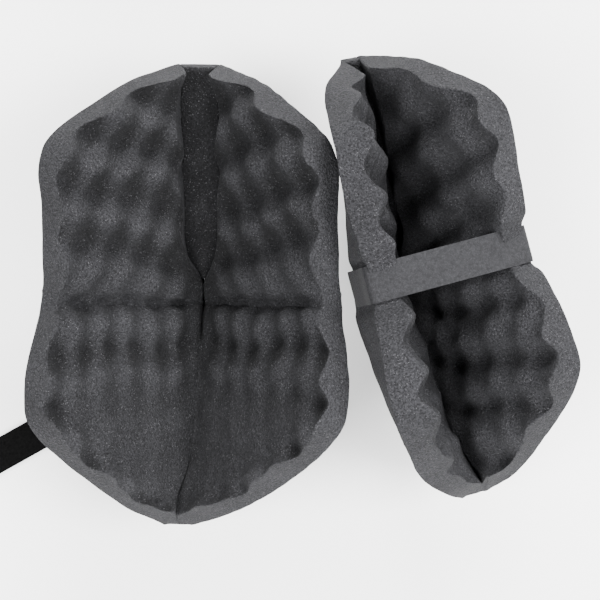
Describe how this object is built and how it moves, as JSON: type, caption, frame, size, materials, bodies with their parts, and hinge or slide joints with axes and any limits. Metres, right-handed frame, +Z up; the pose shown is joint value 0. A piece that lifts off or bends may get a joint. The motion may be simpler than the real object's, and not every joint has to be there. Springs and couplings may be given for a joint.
{
  "type": "foam knee pads",
  "caption": "Pair of cup-shaped roof work knee pads folded from convoluted foam, one with its strap closed over the mouth and one with its strap undone.",
  "frame": {"origin": "centre of the bottom of the bounding box of both pads and their straps", "axes": "+Z up out of the cups' mouths, +Y towards the thigh ends, +X from the left pad to the right pad"},
  "size_m": [0.49, 0.3638, 0.1843],
  "materials": {
    "foam": "open-cell charcoal foam, matt, with fine light specks",
    "strap_face": "brushed knitted loop face, grey",
    "strap_backing": "woven black backing",
    "hook_tape": "moulded black hooks",
    "loop_patch": "black loop tape",
    "thread": "dark grey sewing thread"
  },
  "bodies": {
    "left_pad": {"left_pad_thigh_wing_right": "foam", "left_pad_shin_panel_right": "foam", "left_pad_spine_strip": "foam", "left_pad_anchor_patch": "loop_patch", "left_pad_landing_patch": "loop_patch", "left_strap_root_face": "strap_face", "left_strap_root_backing": "strap_backing"},
    "left_pad_wall": {"left_pad_thigh_wing_left": "foam", "left_pad_shin_panel_left": "foam"},
    "left_strap": {"left_strap_free_face": "strap_face", "left_strap_free_backing": "strap_backing", "left_strap_hook_pad": "hook_tape", "left_strap_stitching": "thread"},
    "right_pad": {"right_pad_thigh_wing_left": "foam", "right_pad_thigh_wing_right": "foam", "right_pad_shin_panel_left": "foam", "right_pad_shin_panel_right": "foam", "right_pad_spine_strip": "foam", "right_pad_anchor_patch": "loop_patch", "right_pad_landing_patch": "loop_patch", "right_strap_root_face": "strap_face", "right_strap_root_backing": "strap_backing"},
    "right_strap": {"right_strap_span_face": "strap_face", "right_strap_span_backing": "strap_backing"},
    "right_strap_end": {"right_strap_end_face": "strap_face", "right_strap_end_backing": "strap_backing", "right_strap_hook_pad": "hook_tape", "right_strap_stitching": "thread"}
  },
  "joints": [
    {"name": "right_pad_slide", "type": "slide", "parent": "left_pad", "child": "right_pad", "axis": [1, 0, 0], "range_m": [0, 0.15]},
    {"name": "left_pad_spread", "type": "hinge", "parent": "left_pad", "child": "left_pad_wall", "pos_m": [-0.0343, -0.01473, 0], "axis": [-0.0122, -0.9999, 0], "range_deg": [0, 12], "stiffness_Nm_per_rad": 2},
    {"name": "left_strap_lift", "type": "hinge", "parent": "left_pad", "child": "left_strap", "pos_m": [-0.0468, -0.05758, 0.0024], "axis": [-0.4894, 0.8721, 0], "range_deg": [0, 40]},
    {"name": "right_strap_open", "type": "hinge", "parent": "right_pad", "child": "right_strap", "pos_m": [0.09928, -0.00158, 0.15061], "axis": [0.2571, -0.9664, 0], "range_deg": [0, 110]},
    {"name": "right_strap_unwrap", "type": "hinge", "parent": "right_strap", "child": "right_strap_end", "pos_m": [0.2177, 0.02993, 0.12709], "axis": [0.2571, -0.9664, 0], "range_deg": [0, 70], "deforming": ["right_strap_end_face", "right_strap_end_backing", "right_strap_hook_pad", "right_strap_stitching"]}
  ],
  "couplings": [
    {"joint": "right_strap_unwrap", "follows": "right_strap_open", "ratio": 0.6}
  ]
}
